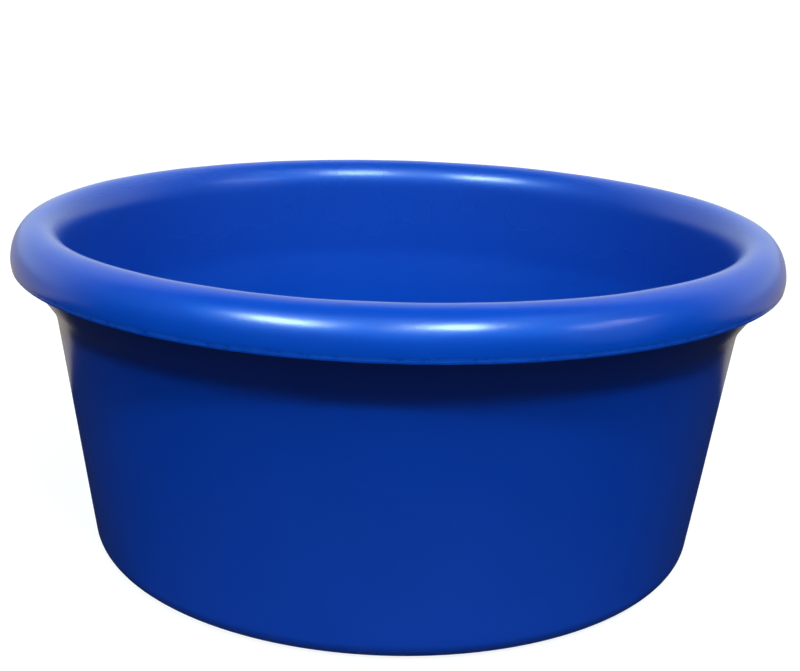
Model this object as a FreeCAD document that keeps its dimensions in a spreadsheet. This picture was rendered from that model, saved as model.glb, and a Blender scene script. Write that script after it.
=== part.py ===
import FreeCAD, Part
import math
import os

import Sketcher

# Round mortar mixing tub: a tapered shell with a flared neck, and a hollow rolled rim bead on top.
#
# Units are millimetres and degrees. +Z is up, and the origin is the centre of the flat base. Both
# pieces are turned about the Z axis, so every sketch is a half section: its x is the radius and
# its y is the height above the base.

DRIVING_DIMENSIONS = {
    # overall
    "tub_height": 306,
    "rim_outer_dia": 700,
    # shell: the outside of the wall, given by its sharp corners
    "base_dia": 565.6,
    "base_round": 20,
    "neck_dia": 627.8,
    "neck_height": 230,
    "neck_round": 45,
    "flare_angle": 34.8,
    "flange_height": 270.8,
    # shell: inside
    "wall_thickness": 6,
    "floor_thickness": 7,
    "floor_round": 28,
    "throat_round": 120,
    "ledge_height": 238,
    # rim bead
    "crest_dia": 652.8,
    "crest_round": 19.7,
    "bulge_height": 275.2,
    "mouth_dia": 608,
    "mouth_height": 277.5,
    "lip_dia": 697.2,
    "lip_height": 268.4,
    "bead_skin": 5,
}

# Lengths worked out from the driving dimensions, as expressions that the sketches are bound to.
SLOPE = "(Dims.neck_dia - Dims.base_dia) / 2 / Dims.neck_height"
WALL_RUN = f"Dims.wall_thickness * sqrt(1 + ({SLOPE}) ^ 2)"
FLARE_TAN = "tan(Dims.flare_angle * 1 deg)"
FLARE_RUN = "Dims.wall_thickness / cos(Dims.flare_angle * 1 deg)"
MOUTH_R = "Dims.mouth_dia / 2"

# How a sketch numbers the points of an element, and its own axes and origin.
START = 1
END = 2
CENTRE = 3
ACROSS_AXIS = -1
UP_AXIS = -2
ORIGIN = (-1, 1)

FULL_TURN = 360
MM3_PER_LITRE = 1e6


def wall_inside(height):
    """Radius of the inside of the tapered wall at a height."""
    return f"Dims.base_dia / 2 + ({SLOPE}) * ({height}) - {WALL_RUN}"


def flare_outside(height):
    """Radius of the outside of the flared neck at a height."""
    return f"Dims.neck_dia / 2 + ({height} - Dims.neck_height) * {FLARE_TAN}"


def flare_inside(height):
    """Radius of the inside of the flared neck at a height."""
    return f"{flare_outside(height)} - {FLARE_RUN}"


def make_sheet(doc):
    """Spreadsheet with one named cell for each driving dimension."""
    sheet = doc.addObject("Spreadsheet::Sheet", "Dims")
    for row, (name, number) in enumerate(DRIVING_DIMENSIONS.items(), start=1):
        sheet.set(f"A{row}", name)
        sheet.set(f"B{row}", str(number))
        sheet.setAlias(f"B{row}", name)
    doc.recompute()
    return sheet


def evaluate(sheet, expression):
    """Number that an expression gives now, in mm or plain."""
    result = sheet.evalExpression(expression)
    return float(getattr(result, "Value", result))


def section_sketch(body, name):
    """Empty sketch on the body's own XZ plane."""
    plane = next(f for f in body.Origin.OriginFeatures if f.Role == "XZ_Plane")
    sketch = body.newObject("Sketcher::SketchObject", name)
    sketch.AttachmentSupport = (plane, [""])
    sketch.MapMode = "FlatFace"
    return sketch


def bind(sketch, kind, refs, expression, sheet):
    """Add a dimension to a sketch and bind it to an expression."""
    index = sketch.addConstraint(Sketcher.Constraint(kind, *refs, evaluate(sheet, expression)))
    sketch.setExpression(f"Constraints[{index}]", expression)


def pin_point(sketch, geometry, end, across, up, sheet):
    """Fix one point of a sketch element at a radius and a height."""
    for kind, expression in (("DistanceX", across), ("DistanceY", up)):
        if evaluate(sheet, expression) == 0:
            axis = UP_AXIS if kind == "DistanceX" else ACROSS_AXIS
            sketch.addConstraint(Sketcher.Constraint("PointOnObject", geometry, end, axis))
        else:
            bind(sketch, kind, (*ORIGIN, geometry, end), expression, sheet)


def corner_cut(before, corner, after, radius):
    """Distance from a corner at which its rounding starts, and the centre of that rounding."""
    one = (before - corner).normalize()
    two = (after - corner).normalize()
    half = one.getAngle(two) / 2
    centre = corner + (one + two).normalize() * (radius / math.sin(half))
    return radius / math.tan(half), centre


def rounded_outline(sketch, corners, sheet):
    """Closed outline of straight runs between corners, each corner sharp or rounded.

    A corner is (radius from the axis, height, rounding radius or None), as expressions.
    """
    points = [FreeCAD.Vector(evaluate(sheet, c[0]), evaluate(sheet, c[1]), 0) for c in corners]
    count = len(corners)
    marks = []
    for point, corner in zip(points, corners):
        mark = sketch.addGeometry(Part.Point(point), True)
        pin_point(sketch, mark, START, corner[0], corner[1], sheet)
        marks.append(mark)

    cuts = []
    for i, corner in enumerate(corners):
        if corner[2] is None:
            cuts.append((0.0, None))
            continue
        radius = evaluate(sheet, corner[2])
        cuts.append(corner_cut(points[i - 1], points[i], points[(i + 1) % count], radius))

    lines = []
    for i in range(count):
        j = (i + 1) % count
        along = (points[j] - points[i]).normalize()
        start = points[i] + along * cuts[i][0]
        finish = points[j] - along * cuts[j][0]
        line = sketch.addGeometry(Part.LineSegment(start, finish))
        for mark, end, cut in ((marks[i], START, cuts[i]), (marks[j], END, cuts[j])):
            if cut[1] is None:
                sketch.addConstraint(Sketcher.Constraint("Coincident", line, end, mark, START))
            else:
                sketch.addConstraint(Sketcher.Constraint("PointOnObject", mark, START, line))
        lines.append(line)

    for i, corner in enumerate(corners):
        if corner[2] is not None:
            round_corner(sketch, lines[i - 1], lines[i], cuts[i][1], corner[2], sheet)


def round_corner(sketch, line_in, line_out, centre, radius, sheet):
    """Arc that joins the end of one line to the start of the next, tangent to both."""
    enter = sketch.getPoint(line_in, END) - centre
    leave = sketch.getPoint(line_out, START) - centre
    turn = enter.x * leave.y - enter.y * leave.x
    angles = [math.atan2(enter.y, enter.x), math.atan2(leave.y, leave.x)]
    if turn < 0:
        angles.reverse()
    circle = Part.Circle(centre, FreeCAD.Vector(0, 0, 1), enter.Length)
    arc = sketch.addGeometry(Part.ArcOfCircle(circle, *angles))
    first, second = (START, END) if turn > 0 else (END, START)
    sketch.addConstraint(Sketcher.Constraint("Tangent", line_in, END, arc, first))
    sketch.addConstraint(Sketcher.Constraint("Tangent", arc, second, line_out, START))
    bind(sketch, "Radius", (arc,), radius, sheet)


def turn_section(body, kind, sketch, name):
    """Add a Revolution or cut a Groove: a section turned right round the Z axis."""
    feature = body.newObject(f"PartDesign::{kind}", name)
    feature.Profile = sketch
    feature.ReferenceAxis = (sketch, ["V_Axis"])
    feature.Angle = FULL_TURN


def make_body(doc, label):
    """Empty body whose label is the node's name."""
    body = doc.addObject("PartDesign::Body", label)
    body.Label = label
    body.Placement = FreeCAD.Placement()
    return body


def make_tub_shell(doc, sheet):
    """Floor, tapered wall and flared neck, one moulding."""
    body = make_body(doc, "tub_shell")

    blank = section_sketch(body, "shell_outside")
    rounded_outline(blank, [
        ("0", "0", None),
        ("Dims.base_dia / 2", "0", "Dims.base_round"),
        ("Dims.neck_dia / 2", "Dims.neck_height", "Dims.neck_round"),
        (flare_outside("Dims.flange_height"), "Dims.flange_height", None),
        ("0", "Dims.flange_height", None),
    ], sheet)
    turn_section(body, "Revolution", blank, "shell_blank")
    doc.recompute()

    # The mixing space: round-cornered floor, tapered wall, then a straight throat up to the mouth.
    throat_height = f"({MOUTH_R} - ({wall_inside('0')})) / ({SLOPE})"
    space = section_sketch(body, "space_section")
    rounded_outline(space, [
        ("0", "Dims.floor_thickness", None),
        (wall_inside("Dims.floor_thickness"), "Dims.floor_thickness", "Dims.floor_round"),
        (MOUTH_R, throat_height, "Dims.throat_round"),
        (MOUTH_R, "Dims.tub_height", None),
        ("0", "Dims.tub_height", None),
    ], sheet)
    turn_section(body, "Groove", space, "mixing_space")
    doc.recompute()

    # The seat for the rim bead: a level ledge inside the neck, below the inside of the flare.
    seat = section_sketch(body, "seat_section")
    rounded_outline(seat, [
        (f"{MOUTH_R} - Dims.bead_skin", "Dims.ledge_height", None),
        (flare_inside("Dims.ledge_height"), "Dims.ledge_height", None),
        (flare_inside("Dims.tub_height"), "Dims.tub_height", None),
        (f"{MOUTH_R} - Dims.bead_skin", "Dims.tub_height", None),
    ], sheet)
    turn_section(body, "Groove", seat, "bead_seat")
    return body


def roll_arc(sketch, centre, start, finish):
    """Arc about a centre, run anticlockwise from one point to another."""
    first = start - centre
    last = finish - centre
    circle = Part.Circle(centre, FreeCAD.Vector(0, 0, 1), first.Length)
    arc = Part.ArcOfCircle(circle, math.atan2(first.y, first.x), math.atan2(last.y, last.x))
    return sketch.addGeometry(arc)


def side_centre(side, level, crest, crest_round, facing):
    """Centre of the arc that leaves a side point upright and runs into the crest arc."""
    # The centre lies level with the side point, and its distance from the crest arc's centre is
    # the difference of the two radii.
    reach = facing * (crest.x - side)
    rise = crest.y - level
    radius = (reach ** 2 + rise ** 2 - crest_round ** 2) / (2 * (reach - crest_round))
    return FreeCAD.Vector(side + facing * radius, level, 0)


def roll_outline(sketch, inset, sheet):
    """The rolled top of the bead, open at the bottom, set in from its outside by a skin.

    Returns its (bulge arc, mouth arc): the first ends level with the bulge, the second at the mouth.
    """
    mouth_r = f"{MOUTH_R} + {inset}"
    bulge_r = f"Dims.rim_outer_dia / 2 - {inset}"
    radius = f"Dims.crest_round - {inset}"
    crest_centre = "Dims.tub_height - Dims.crest_round"

    crest_round = evaluate(sheet, radius)
    crest = FreeCAD.Vector(evaluate(sheet, "Dims.crest_dia / 2"), evaluate(sheet, crest_centre), 0)
    mouth = FreeCAD.Vector(evaluate(sheet, mouth_r), evaluate(sheet, "Dims.mouth_height"), 0)
    bulge = FreeCAD.Vector(evaluate(sheet, bulge_r), evaluate(sheet, "Dims.bulge_height"), 0)
    outer = side_centre(bulge.x, bulge.y, crest, crest_round, -1)
    inner = side_centre(mouth.x, mouth.y, crest, crest_round, 1)
    outer_join = crest + (crest - outer).normalize() * crest_round
    inner_join = crest + (crest - inner).normalize() * crest_round

    bulge_arc = roll_arc(sketch, outer, bulge, outer_join)
    crest_arc = roll_arc(sketch, crest, outer_join, inner_join)
    mouth_arc = roll_arc(sketch, inner, inner_join, mouth)

    pin_point(sketch, crest_arc, CENTRE, "Dims.crest_dia / 2", crest_centre, sheet)
    bind(sketch, "Radius", (crest_arc,), radius, sheet)
    sketch.addConstraint(Sketcher.Constraint("Tangent", bulge_arc, END, crest_arc, START))
    sketch.addConstraint(Sketcher.Constraint("Tangent", crest_arc, END, mouth_arc, START))
    pin_point(sketch, bulge_arc, START, bulge_r, "Dims.bulge_height", sheet)
    bind(sketch, "DistanceY", (*ORIGIN, bulge_arc, CENTRE), "Dims.bulge_height", sheet)
    pin_point(sketch, mouth_arc, END, mouth_r, "Dims.mouth_height", sheet)
    bind(sketch, "DistanceY", (*ORIGIN, mouth_arc, CENTRE), "Dims.mouth_height", sheet)
    return bulge_arc, mouth_arc


def lip_arc(sketch, bulge_arc, across, up, sheet):
    """Arc that carries the bulge round underneath to a point at the lip."""
    tip = FreeCAD.Vector(evaluate(sheet, across), evaluate(sheet, up), 0)
    bulge = sketch.getPoint(bulge_arc, START)
    drop = bulge.y - tip.y
    inward = bulge.x - tip.x
    radius = (inward ** 2 + drop ** 2) / (2 * inward)
    centre = FreeCAD.Vector(bulge.x - radius, bulge.y, 0)
    arc = roll_arc(sketch, centre, tip, bulge)
    pin_point(sketch, arc, START, across, up, sheet)
    sketch.addConstraint(Sketcher.Constraint("Coincident", arc, END, bulge_arc, START))
    bind(sketch, "DistanceY", (*ORIGIN, arc, CENTRE), "Dims.bulge_height", sheet)
    return arc


def chain(sketch, start, corners, finish, sheet):
    """Straight runs from one element's end through corners to another element's end.

    start and finish are (element, end), and a corner is (radius from the axis, height).
    """
    points = [sketch.getPoint(*start)]
    points += [FreeCAD.Vector(evaluate(sheet, x), evaluate(sheet, y), 0) for x, y in corners]
    points.append(sketch.getPoint(*finish))
    previous = start
    for i in range(len(points) - 1):
        line = sketch.addGeometry(Part.LineSegment(points[i], points[i + 1]))
        sketch.addConstraint(Sketcher.Constraint("Coincident", line, START, *previous))
        if i < len(corners):
            pin_point(sketch, line, END, corners[i][0], corners[i][1], sheet)
        previous = (line, END)
    sketch.addConstraint(Sketcher.Constraint("Coincident", *previous, *finish))


def make_rim_bead(doc, sheet):
    """Hollow rolled rim: an inner skirt, a round crest and an outer lip that laps the flare."""
    body = make_body(doc, "rim_bead")
    skirt_r = f"{MOUTH_R} + Dims.bead_skin"
    flange_r = flare_outside("Dims.flange_height")

    outside = section_sketch(body, "bead_outside")
    bulge, mouth = roll_outline(outside, "0", sheet)
    lip = lip_arc(outside, bulge, "Dims.lip_dia / 2", "Dims.lip_height", sheet)
    chain(outside, (mouth, END), [
        (MOUTH_R, "Dims.ledge_height"),
        (skirt_r, "Dims.ledge_height"),
        (skirt_r, "Dims.flange_height"),
        (flange_r, "Dims.flange_height"),
        (flare_outside("Dims.lip_height"), "Dims.lip_height"),
    ], (lip, START), sheet)
    turn_section(body, "Revolution", outside, "bead_blank")
    doc.recompute()

    hollow = section_sketch(body, "hollow_section")
    bulge, mouth = roll_outline(hollow, "Dims.bead_skin", sheet)
    lip = lip_arc(hollow, bulge, flange_r, "Dims.flange_height", sheet)
    chain(hollow, (mouth, END), [
        (skirt_r, "Dims.flange_height"),
    ], (lip, START), sheet)
    turn_section(body, "Groove", hollow, "bead_hollow")
    return body


def check(doc, bodies):
    """Stop if anything in the document failed or a piece has no sound shape."""
    for item in doc.Objects:
        if {"Invalid", "Error"} & set(item.State):
            raise RuntimeError(f"{item.Name} failed: {item.State}")
    for body in bodies:
        shape = body.Shape
        if shape.isNull() or not shape.isValid() or len(shape.Solids) != 1:
            raise RuntimeError(f"{body.Label} is not one valid solid")
        litres = shape.Volume / MM3_PER_LITRE
        print(f"{body.Label}: {litres:.3f} litres of material, box {shape.BoundBox}")


def main():
    doc = FreeCAD.newDocument("mortar_mixing_tub")
    sheet = make_sheet(doc)
    bodies = [make_tub_shell(doc, sheet), make_rim_bead(doc, sheet)]
    doc.recompute()
    check(doc, bodies)
    os.makedirs("parts", exist_ok=True)
    for body in bodies:
        body.Shape.exportStep(f"parts/{body.Label}.step")


main()
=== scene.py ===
import math

import bpy
from mathutils import Matrix, Vector, noise


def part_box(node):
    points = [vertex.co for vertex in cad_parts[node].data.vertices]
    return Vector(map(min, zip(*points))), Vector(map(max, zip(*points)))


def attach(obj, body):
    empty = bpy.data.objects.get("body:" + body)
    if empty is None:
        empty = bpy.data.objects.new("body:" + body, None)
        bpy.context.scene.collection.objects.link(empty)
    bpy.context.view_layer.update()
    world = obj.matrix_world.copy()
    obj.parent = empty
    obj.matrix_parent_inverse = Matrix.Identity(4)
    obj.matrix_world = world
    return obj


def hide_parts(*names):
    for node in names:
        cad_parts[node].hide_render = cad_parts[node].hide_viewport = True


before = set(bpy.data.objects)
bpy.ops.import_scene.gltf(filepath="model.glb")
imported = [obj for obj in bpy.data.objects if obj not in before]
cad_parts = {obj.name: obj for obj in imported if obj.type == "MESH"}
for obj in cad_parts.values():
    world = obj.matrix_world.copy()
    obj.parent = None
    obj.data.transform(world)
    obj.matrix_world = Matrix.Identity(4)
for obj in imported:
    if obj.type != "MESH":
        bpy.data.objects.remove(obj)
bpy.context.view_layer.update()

# Round mortar mixing tub in glossy blue plastic: a tapered shell with a flared neck, and a hollow
# rolled rim bead on top. Metres, +Z up, origin at the centre of the flat base. Both pieces are
# turned about Z, so a profile is a list of (radius, height) points.

_, SHELL_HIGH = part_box("tub_shell")
BEAD_LOW, BEAD_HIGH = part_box("rim_bead")

MM = 0.001
RIM_R = BEAD_HIGH.x
TOP = BEAD_HIGH.z
LEDGE = BEAD_LOW.z
FLANGE_R = SHELL_HIGH.x
FLANGE_TOP = SHELL_HIGH.z

# Sizes of the two pieces that their boxes don't give. A round is a radius.
BASE_R = 282.8 * MM
BASE_ROUND = 20 * MM
NECK_R = 313.9 * MM
NECK_Z = 230 * MM
NECK_ROUND = 45 * MM
WALL = 6 * MM
FLOOR = 7 * MM
FLOOR_ROUND = 28 * MM
THROAT_ROUND = 120 * MM
EDGE_ROUND = 0.5 * MM
MOUTH_R = 304 * MM
MOUTH_Z = 277.5 * MM
CREST_R = 326.4 * MM
CREST_ROUND = 19.7 * MM
BULGE_Z = 275.2 * MM
LIP_R = 348.6 * MM
LIP_Z = 268.4 * MM
SKIN = 5 * MM

# The cut edge of the bead's lip: outer radius, height, and how far it is rounded and leans.
TRIM_R = 349.55 * MM
TRIM_TALL = 2.2 * MM
TRIM_EDGE = 0.4 * MM
TRIM_LEAN = 0.35 * MM

# How much the radius grows with height, up the wall and up the flared neck.
SLOPE = (NECK_R - BASE_R) / NECK_Z
FLARE = (FLANGE_R - NECK_R) / (FLANGE_TOP - NECK_Z)

# Distances between profile points, steps in their arcs, and points round the tub.
SHELL_STEP = 6 * MM
SHELL_ARC_STEPS = 16
SHELL_AROUND = 360
SKIRT_STEP = 4 * MM
SKIRT_EDGE_STEP = 2.5 * MM
SKIRT_INSIDE_STEP = 6 * MM
LIP_STEPS = 20
LIP_INSIDE_STEPS = 12
ROLL_SIDE_STEPS = 14
ROLL_CREST_STEPS = 26
BEAD_AROUND = 720


# ---------------------------------------------------------------- profiles

def run(start, finish, step):
    """Points from start towards finish about a step apart, without the last one."""
    count = max(1, round((finish - start).length / step))
    return [start.lerp(finish, i / count) for i in range(count)]


def arc(centre, radius, first, last, count):
    """Points on an arc between two angles in radians, both ends included."""
    angles = [first + (last - first) * i / count for i in range(count + 1)]
    return [centre + Vector((math.cos(a), math.sin(a))) * radius for a in angles]


def rounded(corners, step, arc_steps):
    """Points along an open line whose inner corners (point, radius) may be rounded."""
    points = []
    cursor = corners[0][0]
    for (before, _), (corner, radius), (after, _) in zip(corners, corners[1:], corners[2:]):
        if radius == 0:
            points += run(cursor, corner, step)
            cursor = corner
            continue
        one = (before - corner).normalized()
        two = (after - corner).normalized()
        half = one.angle(two) / 2
        enter = corner + one * (radius / math.tan(half))
        leave = corner + two * (radius / math.tan(half))
        centre = corner + (one + two).normalized() * (radius / math.sin(half))
        points += run(cursor, enter, step)
        first = math.atan2(*(enter - centre).yx)
        turn = (math.atan2(*(leave - centre).yx) - first + math.pi) % math.tau - math.pi
        points += arc(centre, radius, first, first + turn, arc_steps)[:-1]
        cursor = leave
    points += run(cursor, corners[-1][0], step)
    return points + [corners[-1][0]]


def wall_in(height):
    """Radius of the inside of the tapered wall at a height."""
    return BASE_R + SLOPE * height - WALL * math.hypot(1, SLOPE)


def flare_out(height):
    """Radius of the outside of the flared neck at a height."""
    return NECK_R + FLARE * (height - NECK_Z)


def shell_profile():
    """Right round the shell's section, from the middle of the base out, up, in and down."""
    flare_run = WALL * math.hypot(1, FLARE)
    throat_z = (MOUTH_R - wall_in(0)) / SLOPE
    return rounded([
        (Vector((0, 0)), 0),
        (Vector((BASE_R, 0)), BASE_ROUND),
        (Vector((NECK_R, NECK_Z)), NECK_ROUND),
        (Vector((FLANGE_R, FLANGE_TOP)), EDGE_ROUND),
        (Vector((FLANGE_R - flare_run, FLANGE_TOP)), EDGE_ROUND),
        (Vector((flare_out(LEDGE) - flare_run, LEDGE)), 0),
        (Vector((MOUTH_R, LEDGE)), 0),
        (Vector((MOUTH_R, throat_z)), THROAT_ROUND),
        (Vector((wall_in(FLOOR), FLOOR)), FLOOR_ROUND),
        (Vector((0, FLOOR)), 0),
    ], SHELL_STEP, SHELL_ARC_STEPS)


def side_arc(side, facing, crest, crest_round):
    """Centre and radius of the arc from an upright side point into the crest arc."""
    reach = facing * (crest.x - side.x)
    rise = crest.y - side.y
    radius = (reach ** 2 + rise ** 2 - crest_round ** 2) / (2 * (reach - crest_round))
    return Vector((side.x + facing * radius, side.y)), radius


def roll(inset):
    """Points over the bead's rolled top, from its outer bulge to the mouth."""
    crest = Vector((CREST_R, TOP - CREST_ROUND))
    crest_round = CREST_ROUND - inset
    outer, outer_round = side_arc(Vector((RIM_R - inset, BULGE_Z)), -1, crest, crest_round)
    inner, inner_round = side_arc(Vector((MOUTH_R + inset, MOUTH_Z)), 1, crest, crest_round)
    outer_turn = math.atan2(*(crest - outer).yx)
    inner_turn = math.atan2(*(crest - inner).yx)
    points = arc(outer, outer_round, 0, outer_turn, ROLL_SIDE_STEPS)[:-1]
    points += arc(crest, crest_round, outer_turn, inner_turn, ROLL_CREST_STEPS)[:-1]
    return points + arc(inner, inner_round, inner_turn, math.pi, ROLL_SIDE_STEPS)


def lip(tip, bulge, count):
    """Points round the underside of the bead, from its lip tip to the bulge."""
    drop = bulge.y - tip.y
    inward = bulge.x - tip.x
    radius = (inward ** 2 + drop ** 2) / (2 * inward)
    centre = Vector((bulge.x - radius, bulge.y))
    return arc(centre, radius, math.atan2(*(tip - centre).yx), 0, count)[:-1]


def trim():
    """Points up the cut edge of the lip: a narrow band that leans out to a small soft shoulder."""
    low = LIP_Z
    high = LIP_Z + TRIM_TALL
    foot = TRIM_R - TRIM_LEAN
    return [
        Vector((foot - TRIM_EDGE, low)),
        Vector((foot, low + 0.5 * TRIM_EDGE)),
        Vector((foot + 0.45 * TRIM_LEAN, low + 0.5 * TRIM_TALL)),
        Vector((foot + 0.85 * TRIM_LEAN, high - 1.2 * TRIM_EDGE)),
        Vector((TRIM_R, high - 0.5 * TRIM_EDGE)),
        Vector((TRIM_R - 0.1 * TRIM_EDGE, high)),
    ]


def bead_profile():
    """Right round the bead's section: lip, top and skirt outside, then back inside it."""
    bulge = Vector((RIM_R, BULGE_Z))
    under = lip(Vector((LIP_R, LIP_Z)), bulge, LIP_STEPS)
    above_trim = [point for point in under if point.y > LIP_Z + TRIM_TALL + 1.5 * TRIM_EDGE]
    outside = trim() + above_trim + roll(0)
    # The inside is closed in and never seen, so every other point is enough.
    inside = lip(Vector((FLANGE_R, FLANGE_TOP)), Vector((RIM_R - SKIN, BULGE_Z)), LIP_INSIDE_STEPS)
    inside = (inside + roll(SKIN))[1::2]
    skirt_in = Vector((MOUTH_R, LEDGE))
    skirt_out = Vector((MOUTH_R + SKIN, LEDGE))
    points = outside[:-1]
    points += run(outside[-1], skirt_in, SKIRT_STEP)
    points += run(skirt_in, skirt_out, SKIRT_EDGE_STEP)
    points += run(skirt_out, inside[-1], SKIRT_INSIDE_STEP)
    points += inside[::-1]
    points.append(Vector((flare_out(LIP_Z), LIP_Z)))
    return points


# ---------------------------------------------------------------- meshes

# A point nearer the axis than this is one vertex. Corners above the angle in degrees stay sharp.
ON_AXIS = 1e-6
CREASE_ANGLE = 40

# How uneven the wall, the bead and the lip's cut edge are, and over what height that fades in.
WAVE_DEPTH = 0.45 * MM
WAVE_FADE = 30 * MM
BEAD_UNEVEN = 0.02
BEAD_FADE = 8 * MM
RAGGED_HEIGHT = 0.2 * MM
RAGGED_DEPTH = 0.12 * MM


def clamped(value):
    """Value held between 0 and 1."""
    return min(1, max(0, value))


def soft_noise(angle, height, turns, tall, seed):
    """Smooth noise from about -1 to 1 that closes up round the tub. More turns make it finer."""
    place = Vector((turns * math.cos(angle), turns * math.sin(angle), height / tall + seed))
    return noise.noise(place)


def turn_mesh(name, profile, closed, shift, around):
    """Mesh of a profile turned about Z. shift(angle, point) moves a point in the section.

    A closed profile is also joined from its last point to its first.
    """
    vertices = []
    rings = []
    for point in profile:
        if point.x < ON_AXIS:
            rings.append([len(vertices)])
            vertices.append((0, 0, point.y))
            continue
        rings.append(list(range(len(vertices), len(vertices) + around)))
        for i in range(around):
            angle = math.tau * i / around
            moved = shift(angle, point)
            vertices.append((moved.x * math.cos(angle), moved.x * math.sin(angle), moved.y))
    faces = []
    pairs = list(zip(rings, rings[1:]))
    if closed:
        pairs.append((rings[-1], rings[0]))
    for low, high in pairs:
        for i in range(around):
            j = (i + 1) % around
            if len(low) == 1:
                faces.append((low[0], high[j], high[i]))
            elif len(high) == 1:
                faces.append((low[i], low[j], high[0]))
            else:
                faces.append((low[i], low[j], high[j], high[i]))
    mesh = bpy.data.meshes.new(name)
    mesh.from_pydata(vertices, [], faces)
    mesh.validate()
    mesh.shade_smooth()
    piece = bpy.data.objects.new(name, mesh)
    bpy.context.scene.collection.objects.link(piece)
    return piece


def crease(piece, angle):
    """Sharp edges where faces meet at more than an angle in degrees."""
    piece.data.set_sharp_from_angle(angle=math.radians(angle))


def shell_shift(angle, point):
    """The wall is a little wavy between foot and neck, as a moulding that shrank as it cooled."""
    foot = 10 * MM
    neck = LEDGE - 22 * MM
    up = clamped((point.y - foot) / WAVE_FADE)
    down = clamped((neck - point.y) / WAVE_FADE)
    wave = soft_noise(angle, point.y, turns=2.2, tall=160 * MM, seed=3.1)
    wave += 0.5 * soft_noise(angle, point.y, turns=6, tall=70 * MM, seed=8.7)
    return Vector((point.x + WAVE_DEPTH * up * down * wave, point.y))


def bead_shift(angle, point):
    """The bead is not quite even round the tub, and its cut edge is ragged."""
    rise = clamped((point.y - LIP_Z - 2 * TRIM_TALL) / BEAD_FADE)
    wave = 0.5 + 0.5 * soft_noise(angle, 0, turns=3.5, tall=1, seed=5.3)
    wave += 0.25 * soft_noise(angle, 0, turns=9, tall=1, seed=1.9)
    middle = Vector(((MOUTH_R + RIM_R) / 2, BULGE_Z))
    moved = point.lerp(middle, BEAD_UNEVEN * rise * clamped(wave))
    if point.x > LIP_R - MM and point.y < LIP_Z + TRIM_TALL + TRIM_EDGE:
        rough = 0.4 * soft_noise(angle, 0, turns=30, tall=1, seed=2.7)
        rough += soft_noise(angle, 0, turns=60, tall=1, seed=7.1)
        nick = soft_noise(angle, 0, turns=45, tall=1, seed=4.4)
        moved.y += RAGGED_HEIGHT * rough
        moved.x += RAGGED_DEPTH * min(0.5, nick)
    return moved


# ---------------------------------------------------------------- materials

# Colours of the plastic: the dark and light of its clouds, inside, a painted sheen at the mouth, and
# a paler blue for rubbing at the foot and a painted sheen on the lip.
SHELL_DARK = (0.0035, 0.050, 0.42, 1)
SHELL_LIGHT = (0.0055, 0.059, 0.47, 1)
RIM_DARK = (0.0012, 0.066, 0.49, 1)
RIM_LIGHT = (0.0018, 0.074, 0.54, 1)
INNER_BLUE = (0.0012, 0.063, 0.42, 1)
# Painted sheen: the inside is made paler towards the mouth in this colour.
MOUTH_SHEEN_BLUE = (0.009, 0.071, 0.455, 1)
# Paler blue for rubbing at the foot, and for a painted sheen on the lip's cut edge.
WORN_AND_SHEEN_BLUE = (0.016, 0.13, 0.75, 1)

# How rough the gloss is, how much rougher where it is worn or scuffed, how much that varies
# from place to place, and how much of the paler blue shows: rubbing at the foot, painted sheen on the
# lip.
SHELL_ROUGHNESS = 0.22
RIM_ROUGHNESS = 0.225
WORN_ROUGHER = 0.1
MOUTH_ROUGHER = 0.06
HAZE = 0.02
WORN_AND_SHEEN_SHARE = 0.5
PLASTIC_IOR = 1.5

# Heights of the paler, rougher bands, and how far from them they fade out: rubbing at the foot,
# which takes in the floor inside, and a painted sheen with scuffing just above the lip's cut edge.
FOOT_WEAR_Z = 0
FOOT_WEAR_REACH = 14 * MM
# The band just above the lip's cut edge is a painted sheen, with scuffed roughness.
LIP_SHEEN_AND_WEAR_Z = LIP_Z + 3 * MM
LIP_SHEEN_AND_WEAR_REACH = 3 * MM

# Ramps from one number to another: start, finish, low, high.
FACING_INWARD = (-0.1, -0.95, 0.0, 1.0)
TOWARDS_MOUTH = (0.12, 0.26, 0.0, 1.0)
NOT_INSIDE = (0.0, 0.5, 1.0, 0.0)
WEAR_PATCHES = (0.3, 0.6, 0.3, 1.0)

# Noise in the plastic: cells to the metre, detail, roughness.
CLOUD = (9, 4, 0.55)
PATCH = (70, 5, 0.65)
GLOSS = (12, 2, 0.5)
DRAW_MARKS = (700, 2, 0.5)
ORANGE_PEEL = (130, 2, 0.4)
SWELL = (14, 1, 0.3)
DRAW_MARK_DEPTH = 0.012 * MM
ORANGE_PEEL_DEPTH = 0.03 * MM
SWELL_DEPTH = 0.25 * MM
UPRIGHT_STRETCH = (1, 1, 0.15)


def node(tree, kind, inputs=(), **settings):
    """New shader node with its settings, its numbers and its links."""
    made = tree.nodes.new(kind)
    for key, value in settings.items():
        setattr(made, key, value)
    for key, value in dict(inputs).items():
        if isinstance(value, bpy.types.NodeSocket):
            tree.links.new(value, made.inputs[key])
        else:
            made.inputs[key].default_value = value
    return made


def ramp(tree, value, start, finish, low, high):
    """Smooth change of a number from low to high as value goes from start to finish."""
    made = node(tree, "ShaderNodeMapRange", {
        "Value": value, "From Min": start, "From Max": finish, "To Min": low, "To Max": high,
    }, interpolation_type="SMOOTHSTEP")
    return made.outputs["Result"]


def times(tree, one, two):
    """Product of two numbers."""
    return node(tree, "ShaderNodeMath", {0: one, 1: two}, operation="MULTIPLY").outputs[0]


def mixed(tree, factor, one, two):
    """Colour between two colours."""
    made = node(tree, "ShaderNodeMix", {"Factor": factor, "A": one, "B": two}, data_type="RGBA")
    return made.outputs[2]


def speckle(tree, place, scale, detail, roughness):
    """Noise at a number of cells to the metre."""
    made = node(tree, "ShaderNodeTexNoise", {
        "Vector": place, "Scale": scale, "Detail": detail, "Roughness": roughness,
    })
    return made.outputs["Fac"]


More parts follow.
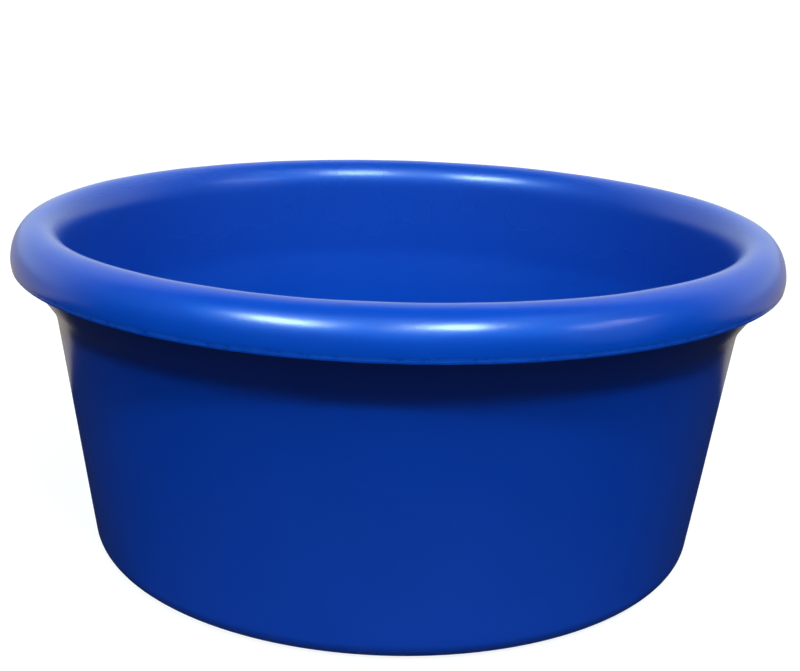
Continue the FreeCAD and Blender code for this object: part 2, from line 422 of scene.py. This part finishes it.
def facing_inward(tree, coordinates):
    """1 where the surface faces the tub's own axis, 0 where it faces up or out."""
    level = node(tree, "ShaderNodeVectorMath", {
        0: coordinates.outputs["Object"], 1: (1, 1, 0),
    }, operation="MULTIPLY")
    away = node(tree, "ShaderNodeVectorMath", {0: level.outputs["Vector"]}, operation="NORMALIZE")
    facing = node(tree, "ShaderNodeVectorMath", {
        0: away.outputs["Vector"], 1: coordinates.outputs["Normal"],
    }, operation="DOT_PRODUCT")
    return ramp(tree, facing.outputs["Value"], *FACING_INWARD)


def pigment(tree, coordinates, dark, light, inside, mouth):
    """Cloudy colour outside, one shared colour inside, and a painted sheen that makes it paler at the
    mouth.
    """
    cloud = speckle(tree, coordinates.outputs["Object"], *CLOUD)
    both = mixed(tree, inside, mixed(tree, cloud, dark, light), INNER_BLUE)
    # Painted sheen: the inside turns paler towards the mouth.
    return mixed(tree, mouth, both, MOUTH_SHEEN_BLUE)


def edge_wear_and_sheen(tree, coordinates, height, edge_z, reach):
    """Patchy mask, 0 to 1, close to the height of an edge: rubbing at the foot, painted sheen at the
    lip.
    """
    away = node(tree, "ShaderNodeMath", {0: height, 1: edge_z}, operation="SUBTRACT").outputs[0]
    gap = node(tree, "ShaderNodeMath", {0: away}, operation="ABSOLUTE").outputs[0]
    patches = ramp(tree, speckle(tree, coordinates.outputs["Object"], *PATCH), *WEAR_PATCHES)
    return times(tree, ramp(tree, gap, 0.0, reach, 1.0, 0.0), patches)


def surface(tree, place):
    """Normal with fine upright draw marks, orange peel and a broad swell."""
    upright = node(tree, "ShaderNodeMapping", {"Vector": place, "Scale": UPRIGHT_STRETCH})
    normal = None
    for texture, depth in (
        (speckle(tree, upright.outputs["Vector"], *DRAW_MARKS), DRAW_MARK_DEPTH),
        (speckle(tree, place, *ORANGE_PEEL), ORANGE_PEEL_DEPTH),
        (speckle(tree, place, *SWELL), SWELL_DEPTH),
    ):
        settings = {"Strength": 1.0, "Distance": depth, "Height": texture}
        if normal:
            settings["Normal"] = normal
        normal = node(tree, "ShaderNodeBump", settings).outputs["Normal"]
    return normal


def plastic(name, dark, light, roughness, edge_z, reach):
    """Glossy moulded polyethylene: cloudy pigment, orange peel, scuffing, a painted sheen inside at
    the mouth, and a paler band near one height (rubbing at the foot, painted sheen at the lip).
    """
    material = bpy.data.materials.new(name)
    material.use_nodes = True
    tree = material.node_tree
    shader = tree.nodes["Principled BSDF"]
    coordinates = tree.nodes.new("ShaderNodeTexCoord")
    place = coordinates.outputs["Object"]

    height = node(tree, "ShaderNodeSeparateXYZ", {"Vector": place}).outputs["Z"]
    inside = facing_inward(tree, coordinates)
    # Mask of the painted sheen inside at the mouth. It also makes the gloss rougher there.
    mouth = times(tree, inside, ramp(tree, height, *TOWARDS_MOUTH))
    outside = ramp(tree, inside, *NOT_INSIDE)
    # Mask of rubbing at the foot and of a painted sheen just above the lip's cut edge.
    wear_and_sheen = times(tree, outside, edge_wear_and_sheen(tree, coordinates, height, edge_z, reach))
    colour = pigment(tree, coordinates, dark, light, inside, mouth)
    # Paler blue where that mask is: rubbing at the foot, painted sheen at the lip.
    rubbed_and_sheen_colour = mixed(tree, times(tree, wear_and_sheen, WORN_AND_SHEEN_SHARE), colour, WORN_AND_SHEEN_BLUE)
    tree.links.new(rubbed_and_sheen_colour, shader.inputs["Base Color"])

    haze = ramp(tree, speckle(tree, place, *GLOSS), 0.25, 0.75, roughness - HAZE, roughness + HAZE)
    for scuffing in (times(tree, wear_and_sheen, WORN_ROUGHER), times(tree, mouth, MOUTH_ROUGHER)):
        haze = node(tree, "ShaderNodeMath", {0: haze, 1: scuffing}, operation="ADD").outputs[0]
    tree.links.new(haze, shader.inputs["Roughness"])
    tree.links.new(surface(tree, place), shader.inputs["Normal"])
    shader.inputs["IOR"].default_value = PLASTIC_IOR
    return material


def studio_material():
    """Plain matt studio paper, nearly white and evenly lit."""
    material = bpy.data.materials.new("studio_paper")
    material.use_nodes = True
    shader = material.node_tree.nodes["Principled BSDF"]
    shader.inputs["Base Color"].default_value = PAPER_GREY
    shader.inputs["Roughness"].default_value = 1
    shader.inputs["Specular IOR Level"].default_value = 0
    shader.inputs["Emission Color"].default_value = (1, 1, 1, 1)
    shader.inputs["Emission Strength"].default_value = PAPER_GLOW
    return material


# ---------------------------------------------------------------- the tub

def make_piece(name, profile, closed, shift, around, material, cad_node):
    """One turned piece that stands for a CAD node and rides on the root body."""
    piece = turn_mesh(name, profile, closed, shift, around)
    crease(piece, CREASE_ANGLE)
    piece.data.materials.append(material)
    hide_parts(cad_node)
    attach(piece, "root")


SHELL_BLUE = plastic(
    "shell_blue", SHELL_DARK, SHELL_LIGHT, SHELL_ROUGHNESS, FOOT_WEAR_Z, FOOT_WEAR_REACH,
)
# The rim's paler band just above the lip's cut edge is a painted sheen.
RIM_BLUE = plastic(
    "rim_blue", RIM_DARK, RIM_LIGHT, RIM_ROUGHNESS, LIP_SHEEN_AND_WEAR_Z, LIP_SHEEN_AND_WEAR_REACH,
)
make_piece(
    "tub_shell_moulding", shell_profile(), False, shell_shift, SHELL_AROUND, SHELL_BLUE,
    "tub_shell",
)
make_piece(
    "rim_bead_moulding", bead_profile(), True, bead_shift, BEAD_AROUND, RIM_BLUE,
    "rim_bead",
)


# ---------------------------------------------------------------- stage

# The studio's floor, the cove that turns it up into a wall, and its mesh.
STUDIO_FLOOR_R = 7
STUDIO_COVE_R = 3
STUDIO_WALL_TOP = 8
STUDIO_STEP = 1
STUDIO_ARC_STEPS = 24
STUDIO_AROUND = 96

# The bright floor: where it starts at the tub's two sides, where it ends, and its height.
CARD_NEAR_LEFT = 0.32
CARD_NEAR_RIGHT = 0.35
CARD_FAR = 9.0
CARD_HALF = 9.0
CARD_Z = MM
CARD_CREAM = (1, 0.9, 0.75, 1)
CARD_GLOW = 0.55
BLACK = (0, 0, 0, 1)

PAPER_GREY = (0.22, 0.22, 0.22, 1)
PAPER_GLOW = 0.88

# The light off the floor in front of the tub: its oval, its power, and its place.
BOUNCE_WIDE = 0.7
BOUNCE_DEEP = 0.35
BOUNCE_WATTS = 0.13
BOUNCE_AT = (0, -0.33, 0.2 * MM)

# Colours of the lamps.
COOL = (0.64, 0.95, 1.0)
AZURE = (0.0, 0.35, 1.0)
PALE = (0.8, 0.85, 1)
SKY = (0.4, 0.63, 1)

# How the room's light changes with the direction looked in: start, finish, low, high.
WALL_BEHIND = (-0.05, 0.55, 0.0, 0.95)
WALL_TOP = (0.7, 0.95, 1.0, 0.15)
WALL_FOOT = (-0.1, 0.04, 0.01, 1.0)
CEILING_AHEAD = (-0.1, 0.1, 0.45, 0.0)
CEILING_LOW = (0.0, 0.45, 0.0, 1.0)
CEILING_HIGH = (0.7, 0.9, 1.0, 0.3)
FRONT_TO_BACK = (-0.1, 0.1, 0.0, 1.0)
ROOM_GLOW = 0.012
FRONT_BLUE = (0.25, 0.7, 1.0, 1)
BACK_WHITE = (0.86, 0.98, 1.0, 1)

# The camera: lens and sensor in millimetres, place in metres, turns in degrees.
LENS = 59.84
SENSOR = 36
CLIP_END = 200
CAMERA_AT = (0, -1.2187, 0.5409)
PITCH = -16.15
YAW = -0.15
ROLL = 1.69


def make_studio():
    """Pale floor that curves up into a wall all round. The tub shades it but isn't lit by it."""
    wall_r = STUDIO_FLOOR_R + STUDIO_COVE_R
    profile = rounded([
        (Vector((0, 0)), 0),
        (Vector((wall_r, 0)), STUDIO_COVE_R),
        (Vector((wall_r, STUDIO_WALL_TOP)), 0),
    ], STUDIO_STEP, STUDIO_ARC_STEPS)
    studio = turn_mesh("studio", profile, False, lambda angle, point: point, STUDIO_AROUND)
    studio.data.materials.append(studio_material())
    studio.visible_diffuse = False
    studio.visible_glossy = False
    studio.visible_shadow = False


def make_floor_card():
    """Bright floor behind the tub, a little nearer on the left, seen only as a reflection in it."""
    middle = (CARD_NEAR_LEFT + CARD_NEAR_RIGHT) / 2
    slope = (CARD_NEAR_RIGHT - CARD_NEAR_LEFT) / (2 * RIM_R)
    corners = [
        (-CARD_HALF, middle - slope * CARD_HALF, CARD_Z),
        (CARD_HALF, middle + slope * CARD_HALF, CARD_Z),
        (CARD_HALF, CARD_FAR, CARD_Z),
        (-CARD_HALF, CARD_FAR, CARD_Z),
    ]
    mesh = bpy.data.meshes.new("floor_behind")
    mesh.from_pydata(corners, [], [(0, 1, 2, 3)])
    card = bpy.data.objects.new("floor_behind", mesh)
    bpy.context.scene.collection.objects.link(card)
    material = bpy.data.materials.new("floor_behind_glow")
    material.use_nodes = True
    shader = material.node_tree.nodes["Principled BSDF"]
    shader.inputs["Base Color"].default_value = BLACK
    shader.inputs["Specular IOR Level"].default_value = 0
    shader.inputs["Emission Color"].default_value = CARD_CREAM
    shader.inputs["Emission Strength"].default_value = CARD_GLOW
    mesh.materials.append(material)
    card.visible_camera = False
    card.visible_diffuse = False
    card.visible_shadow = False


def make_light(name, azimuth, elevation, spread, strength, colour=(1, 1, 1)):
    """Far soft lamp. Azimuth 0 is behind the tub (+Y), positive to the right; angles in degrees."""
    a = math.radians(azimuth)
    e = math.radians(elevation)
    out = Vector((math.sin(a) * math.cos(e), math.cos(a) * math.cos(e), math.sin(e)))
    data = bpy.data.lights.new(name, "SUN")
    data.angle = math.radians(spread)
    data.energy = strength
    data.color = colour
    lamp = bpy.data.objects.new(name, data)
    lamp.rotation_mode = "QUATERNION"
    lamp.rotation_quaternion = out.to_track_quat("Z", "Y")
    bpy.context.scene.collection.objects.link(lamp)
    return lamp


def make_wash(*settings):
    """Far lamp that lights the plastic without showing as a highlight."""
    make_light(*settings).visible_glossy = False


def make_shine(*settings):
    """Far lamp that only shows as a highlight."""
    make_light(*settings).visible_diffuse = False


def make_floor_bounce():
    """Light that the floor just in front of the tub throws back up at its wall."""
    data = bpy.data.lights.new("floor_bounce", "AREA")
    data.shape = "ELLIPSE"
    data.size = BOUNCE_WIDE
    data.size_y = BOUNCE_DEEP
    data.energy = BOUNCE_WATTS
    lamp = bpy.data.objects.new("floor_bounce", data)
    lamp.location = BOUNCE_AT
    lamp.rotation_euler = (math.pi, 0, 0)
    lamp.visible_camera = False
    lamp.visible_glossy = False
    bpy.context.scene.collection.objects.link(lamp)


def make_world():
    """Room around the tub: a bright wall behind it, a dim bluish ceiling in front, dark below."""
    world = bpy.data.worlds.new("room")
    bpy.context.scene.world = world
    world.use_nodes = True
    tree = world.node_tree
    tree.nodes.clear()
    way = node(tree, "ShaderNodeSeparateXYZ", {
        "Vector": tree.nodes.new("ShaderNodeTexCoord").outputs["Generated"],
    })
    back = way.outputs["Y"]
    up = way.outputs["Z"]
    wall = times(tree, ramp(tree, back, *WALL_BEHIND), ramp(tree, up, *WALL_TOP))
    wall = times(tree, wall, ramp(tree, up, *WALL_FOOT))
    ceiling = times(tree, ramp(tree, back, *CEILING_AHEAD), ramp(tree, up, *CEILING_LOW))
    ceiling = times(tree, ceiling, ramp(tree, up, *CEILING_HIGH))
    both = node(tree, "ShaderNodeMath", {0: wall, 1: ceiling}, operation="ADD")
    glow = node(tree, "ShaderNodeMath", {0: both.outputs[0], 1: ROOM_GLOW}, operation="ADD")
    colour = mixed(tree, ramp(tree, back, *FRONT_TO_BACK), FRONT_BLUE, BACK_WHITE)
    sky = node(tree, "ShaderNodeBackground", {"Color": colour, "Strength": glow.outputs[0]})
    node(tree, "ShaderNodeOutputWorld", {"Surface": sky.outputs["Background"]})


def make_camera():
    """Camera in front of the tub, a little above it, looking down, with a slight roll."""
    data = bpy.data.cameras.new("camera")
    data.lens = LENS
    data.sensor_width = SENSOR
    data.clip_end = CLIP_END
    camera = bpy.data.objects.new("camera", data)
    bpy.context.scene.collection.objects.link(camera)
    turn = (
        Matrix.Rotation(math.radians(YAW), 4, "Z")
        @ Matrix.Rotation(math.pi / 2 + math.radians(PITCH), 4, "X")
        @ Matrix.Rotation(math.radians(ROLL), 4, "Z")
    )
    camera.matrix_world = Matrix.Translation(CAMERA_AT) @ turn
    bpy.context.scene.camera = camera


make_studio()
make_world()
make_floor_card()

# Each lamp's azimuth, elevation, spread, strength and colour.
make_wash("ceiling_right", 163, 49, 5, 1.15, COOL)
make_wash("ceiling_right_glow", 165, 54, 30, 0.6, COOL)
make_wash("ceiling_left", -155, 49, 5, 0.95, COOL)
make_wash("ceiling_left_glow", -158, 54, 30, 0.35, COOL)
make_wash("side_right", 115, 50, 30, 0.45)
make_wash("floor_glow", 180, -30, 90, 0.02)
make_shine("right_shine_one", 155.5, 44, 8, 0.95, COOL)
make_shine("right_shine_two", 166, 44, 8, 0.95, COOL)
make_shine("left_shine_one", -137.5, 40, 8, 1.15, COOL)
make_shine("left_shine_two", -148.5, 40, 8, 1.15, COOL)
make_shine("middle_shine", 178, 38, 14, 0.12, COOL)
make_shine("side_shine_one", 110, 27, 7, 0.12, PALE)
make_shine("side_shine_two", 121, 27, 7, 0.12, PALE)
make_shine("side_sheen", 119, 12, 30, 0.17, SKY)
make_shine("azure_left", -140, 40, 44, 1.2, AZURE)
make_shine("azure_middle", 180, 40, 44, 1.2, AZURE)
make_shine("azure_right", 140, 40, 44, 1.2, AZURE)
make_floor_bounce()
make_camera()
bpy.context.scene.view_settings.view_transform = "Standard"
